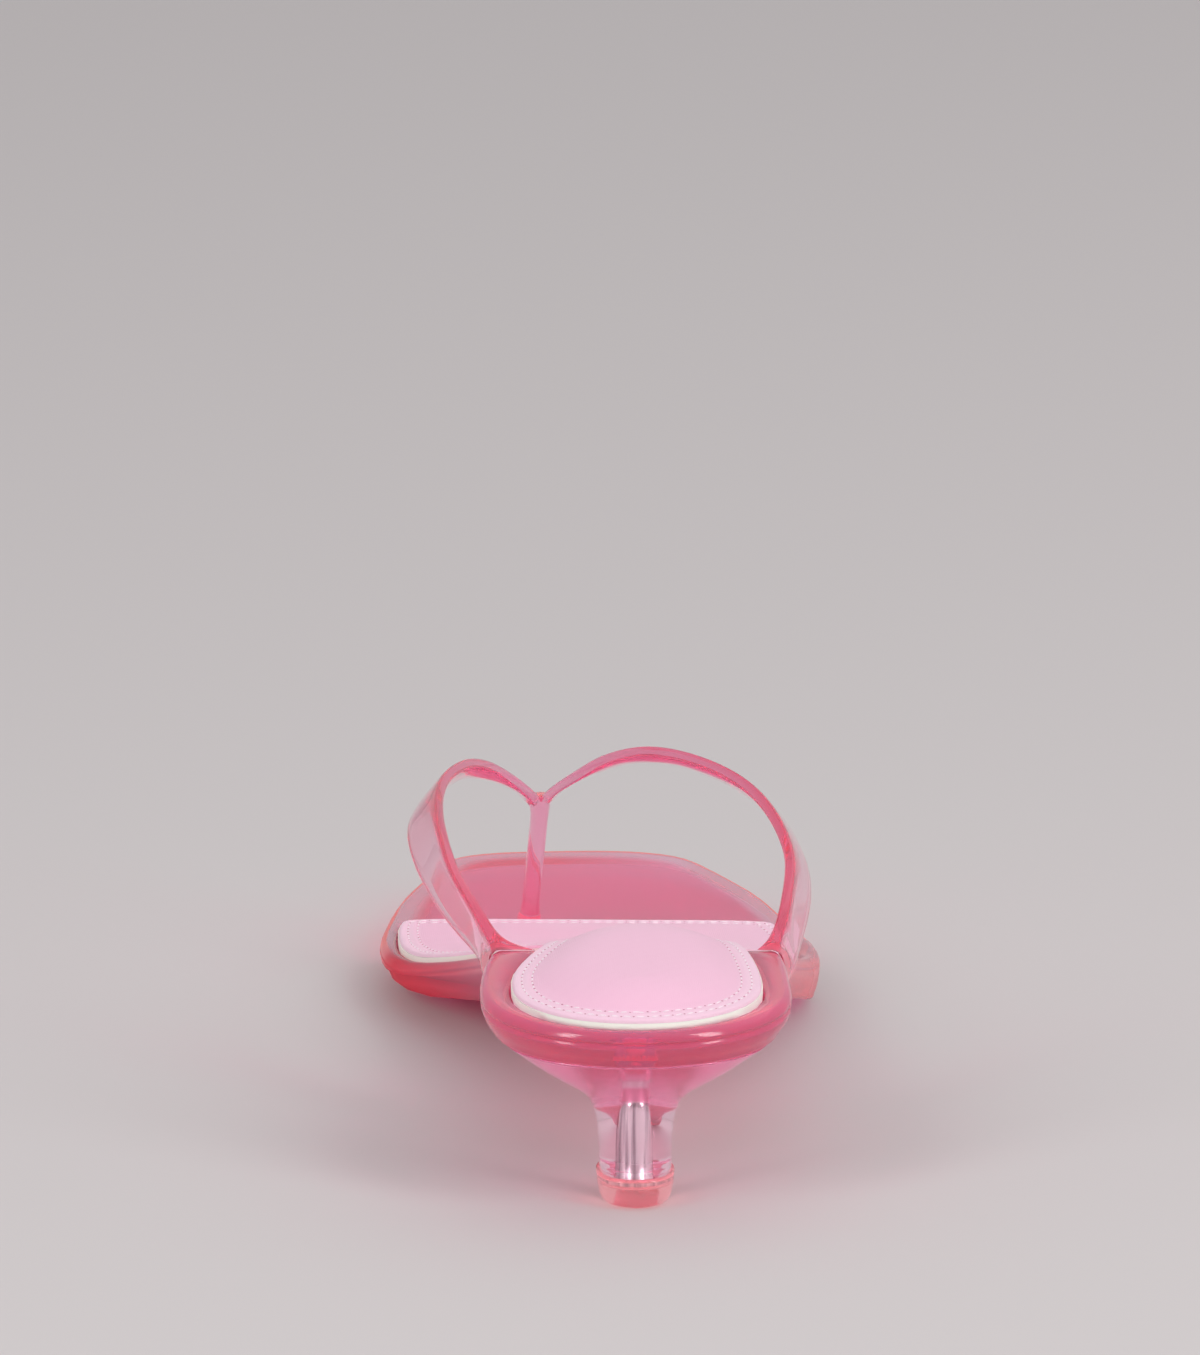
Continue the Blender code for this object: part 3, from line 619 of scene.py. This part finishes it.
def makeDowel(d):
    low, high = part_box("heel_pin")
    axis = ((low[0] + high[0]) / 2, (low[1] + high[1]) / 2)
    foot, top = low[2] / mm, high[2] / mm
    radius, flange = d["radius"] + d["bedding"], d["flangeRadius"] + d["bedding"]
    chamfer, shoulder = d["chamfer"], foot + d["flangeHeight"]
    profile = [(0.0, foot), (flange - chamfer, foot), (flange, foot + chamfer),
               (flange, shoulder - chamfer), (flange - chamfer, shoulder), (radius, shoulder)]
    rings = int((d["ringsTo"] - d["ringsFrom"]) / d["ringPitch"])
    for k in range(rings):
        height = foot + d["ringsFrom"] + k * d["ringPitch"]
        profile += [(radius, height), (radius - d["ringDepth"], height + d["ringPitch"] * d["ringShare"])]
    profile += [(radius, foot + d["ringsTo"]), (radius, top - chamfer), (radius - chamfer, top), (0.0, top)]
    bm = spunBody(profile, axis, d["steps"])
    steel = turnedSteel("turnedSteel", d["finish"])
    piece = makePiece("steelDowel", bm, [steel], ["heel_pin"])
    piece.data.set_sharp_from_angle(angle=math.radians(d["sharpAngle"]))


makeDowel(dowel)

plug = {
    "footRadius": 2.6, "topRadius": 3.4, "rounding": 0.4,  # mm
    "bedding": 0.34,  # mm, out to the sole that was moulded round it
    "steps": 40, "sharpAngle": 30.0,
    # the plug's emission is a painted glow in its own red
    "finish": {"colour": (0.86, 0.02, 0.06), "roughness": 0.3, "paintedGlowStrength": 0.17},
}


def makePlug(p):
    low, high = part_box("heel_plug")
    axis = ((low[0] + high[0]) / 2, (low[1] + high[1]) / 2)
    foot, top = low[2] / mm, high[2] / mm + p["bedding"]
    footRadius, topRadius = p["footRadius"] + p["bedding"], p["topRadius"] + p["bedding"]
    rounding = p["rounding"]
    profile = [(0.0, foot), (footRadius - rounding, foot), (footRadius, foot + rounding),
               (topRadius, top - rounding), (topRadius - rounding, top), (0.0, top)]
    bm = spunBody(profile, axis, p["steps"])
    piece = makePiece("redPlug", bm, [solidFinish("redPlastic", p["finish"])], ["heel_plug"])
    piece.data.set_sharp_from_angle(angle=math.radians(p["sharpAngle"]))


makePlug(plug)
print("top lift, dowel and plug made")


# Insole: foam layer, padded cover and two rows of stitches

foamLayer = {
    "colour": (0.93, 0.91, 0.84), "roughness": 0.9, "waves": (900.0, 4000.0, 0.6, 0.0001),
    "proud": 0.25, "lift": 0.28,  # mm, past the cover and up to it
    "sharpAngle": 40.0,
}


def makeFoam(f):
    bm = mergedCopy("insole_foam")
    bm.normal_update()
    for vert in bm.verts:
        outward = Vector((vert.normal.x, vert.normal.y, 0.0)).normalized()
        vert.co += outward * f["proud"] * mm
        if vert.normal.z > 0:
            vert.co.z += f["lift"] * mm
    foam = makePiece("foamLayer", bm, [solidFinish("creamFoam", f)], ["insole_foam"])
    foam.data.set_sharp_from_angle(angle=math.radians(f["sharpAngle"]))


makeFoam(foamLayer)

stitchRows = {
    "rows": (1.9, 4.0),  # mm in from the pad's edge
    "pitch": 2.5, "length": 1.5, "width": 0.34,  # mm
    "holeShadeRadius": 0.24, "holeShadeHeight": 0.05,  # mm
    "around": 8, "across": 6,  # faces of a stitch
    "above": 0.2,  # m over the floor, from which each stitch is dropped on the pad
    "thread": {"colour": (0.98, 0.84, 0.91), "roughness": 0.35},
    # the needle holes' dark colour is painted shade in them
    "holeShade": {"colour": (0.55, 0.20, 0.30), "roughness": 0.8},
}

insolePad = {
    "levels": 3, "creaseAngle": 60.0,
    "underTilt": -0.42, "sideTilt": -0.3,  # upward shares of the normals below and above its lower edge
    "topTilt": 0.3,  # upward share of the normals, past which the stitches pull it in
    "grooveDepth": 0.22, "grooveWidth": 0.5,  # mm
    "beatShare": 0.25,  # of the groove's depth, that comes and goes with each stitch
    "puckerDepth": 0.05, "puckerScale": 900.0, "puckerReach": 6.0,  # mm deep and mm in from the edge
    # the paler border is painted sheen of light on the puckered stitching
    "colour": (0.94, 0.55, 0.73), "borderSheenColour": (0.95, 0.64, 0.79), "borderSheenFade": (2.2, 5.0),  # mm
    "roughness": 0.55, "sheen": 0.25, "sheenRoughness": 0.4, "gloss": 0.35,
    "weavePitch": 0.42, "weaveDepth": 0.08, "weaveStrength": 0.5, "weaveWander": 0.4,  # mm, mm, shares
}
waveRate = 20.0  # radians that a wave texture turns through in a metre, at a scale of 1


def padMaterial(p):
    material, nodes, links = blankMaterial("pinkFabric")
    out = addNode(nodes, "ShaderNodeOutputMaterial")
    shader = addNode(nodes, "ShaderNodeBsdfPrincipled", {
        "Roughness": p["roughness"], "Sheen Weight": p["sheen"], "Sheen Roughness": p["sheenRoughness"],
        "Specular IOR Level": p["gloss"]})
    place = addNode(nodes, "ShaderNodeTexCoord")
    weave = addNode(nodes, "ShaderNodeMath", operation="MULTIPLY")
    for i, direction in enumerate(("X", "Y")):
        wave = addNode(nodes, "ShaderNodeTexWave", {
            "Scale": math.tau / (p["weavePitch"] * mm) / waveRate, "Distortion": p["weaveWander"],
            "Detail": 1.0}, wave_type="BANDS", bands_direction=direction)
        links.new(place.outputs["Object"], wave.inputs["Vector"])
        links.new(wave.outputs["Fac"], weave.inputs[i])
    bump = addNode(nodes, "ShaderNodeBump", {
        "Strength": p["weaveStrength"], "Distance": p["weaveDepth"] * mm})
    links.new(weave.outputs["Value"], bump.inputs["Height"])
    links.new(bump.outputs["Normal"], shader.inputs["Normal"])
    edge = addNode(nodes, "ShaderNodeAttribute", attribute_name="edgeDistance")
    # the paler border is painted sheen of light on the puckered stitching
    border = ramp(nodes, links, edge.outputs["Fac"], p["borderSheenFade"], (1.0, 0.0), "LINEAR")
    skin = mixed(nodes, links, border, p["colour"], p["borderSheenColour"])
    links.new(skin, shader.inputs["Base Color"])
    links.new(shader.outputs["BSDF"], out.inputs["Surface"])
    return material


def appliedMesh(bm, levels):
    # the subdivided copy of a mesh, as a new bmesh
    mesh = bpy.data.meshes.new("padDraft")
    bm.to_mesh(mesh)
    bm.free()
    draft = bpy.data.objects.new("padDraft", mesh)
    bpy.context.scene.collection.objects.link(draft)
    roundOff(draft, levels)
    seen = draft.evaluated_get(bpy.context.evaluated_depsgraph_get())
    result = bmesh.new()
    result.from_mesh(seen.to_mesh())
    bpy.data.objects.remove(draft)
    bpy.data.meshes.remove(mesh)
    return result


def baseLoop(bm, p):
    # the pad's lower edge, in order, with the distance along it
    bm.normal_update()
    onEdge = {}
    for edge in bm.edges:
        tilts = sorted(face.normal.z for face in edge.link_faces)
        if tilts[0] < p["underTilt"] and tilts[1] > p["sideTilt"]:
            for vert in edge.verts:
                onEdge.setdefault(vert, []).append(edge)
    start = min(onEdge, key=lambda vert: vert.co.y)
    loop, last, here = [start], None, start
    while True:
        step = next(edge for edge in onEdge[here] if edge is not last)
        following = step.other_vert(here)
        if following is start:
            break
        loop.append(following)
        last, here = step, following
    points = [vert.co.copy() for vert in loop]
    along = [0.0]
    for a, b in zip(points, points[1:]):
        along.append(along[-1] + (b.xy - a.xy).length)
    return points, along


def makePad(p, stitches):
    # the crowned cover, pulled in along its stitches
    bm = appliedMesh(quadCopy("insole_cover", p["creaseAngle"]), p["levels"])
    points, along = baseLoop(bm, p)
    outline = KDTree(len(points))
    for i, point in enumerate(points):
        outline.insert((point.x, point.y, 0.0), i)
    outline.balance()
    distance = bm.verts.layers.float.new("edgeDistance")
    moves = {}
    for vert in bm.verts:
        nearest, gap = outline.find((vert.co.x, vert.co.y, 0.0))[1:]
        depth = gap / mm
        vert[distance] = depth
        if vert.normal.z > p["topTilt"]:
            turn = math.tau * along[nearest] / (stitches["pitch"] * mm)
            beat = 1 - p["beatShare"] + p["beatShare"] * math.cos(turn)
            sink = sum(math.exp(-((depth - row) / p["grooveWidth"]) ** 2) for row in stitches["rows"])
            fade = math.exp(-(depth / p["puckerReach"]) ** 2)
            pucker = p["puckerDepth"] * noise.noise(vert.co * p["puckerScale"]) * fade
            moves[vert] = vert.normal * ((pucker - p["grooveDepth"] * sink * beat) * mm)
    for vert, move in moves.items():
        vert.co += move
    bm.normal_update()
    surface = BVHTree.FromBMesh(bm)
    for face in bm.faces:
        face.smooth = True
    pad = makePiece("insolePad", bm, [padMaterial(p)], ["insole_cover"])
    return points, surface


def rowSpots(points, row, spacing):
    # places along one row of stitches with the row's direction there, evenly spaced
    count = len(points)
    turn = 1.0 if sum(a.x * b.y - b.x * a.y for a, b in zip(points, points[1:])) > 0 else -1.0
    line = []
    for i, point in enumerate(points):
        side = points[(i + 1) % count] - points[i - 1]
        line.append(point + Vector((-side.y, side.x, 0.0)).normalized() * turn * row * mm)
    travelled, due = 0.0, 0.0
    for a, b in zip(line, line[1:] + line[:1]):
        reach = (b.xy - a.xy).length
        while due <= travelled + reach:
            yield a.lerp(b, (due - travelled) / reach), (b - a).normalized()
            due += spacing * mm
        travelled += reach


def makeStitches(s, points, surface):
    # threads and needle holes by turns, each a bead laid on the pad, the holes as dark beads of painted
    # shade
    bead = bmesh.new()
    bmesh.ops.create_uvsphere(bead, u_segments=s["around"], v_segments=s["across"], radius=1.0)
    shape = bpy.data.meshes.new("stitchBead")
    bead.to_mesh(shape)
    bead.free()
    bm = bmesh.new()
    sizes = ((s["length"] / 2, s["width"] / 2, s["width"] / 2),
             (s["holeShadeRadius"], s["holeShadeRadius"], s["holeShadeHeight"]))
    for row in s["rows"]:
        for k, (spot, ahead) in enumerate(rowSpots(points, row, s["pitch"] / 2)):
            hit, normal = surface.ray_cast(Vector((spot.x, spot.y, s["above"])), Vector((0, 0, -1)))[:2]
            ahead = (ahead - normal * ahead.dot(normal)).normalized()
            turn = Matrix((ahead, normal.cross(ahead), normal)).transposed().to_4x4()
            size = Matrix.Diagonal((*(value * mm for value in sizes[k % 2]), 1.0))
            place = Matrix.Translation(hit) @ turn @ size
            shape.transform(place)
            old = len(bm.faces)
            bm.from_mesh(shape)
            shape.transform(place.inverted())
            bm.faces.ensure_lookup_table()
            for face in bm.faces[old:]:
                face.material_index = k % 2
                face.smooth = True
    bpy.data.meshes.remove(shape)
    finishes = [solidFinish("paleThread", s["thread"]), solidFinish("needleHoleShade", s["holeShade"])]
    makePiece("stitchRows", bm, finishes)


padEdge, padSurface = makePad(insolePad, stitchRows)
makeStitches(stitchRows, padEdge, padSurface)
print("insole made")
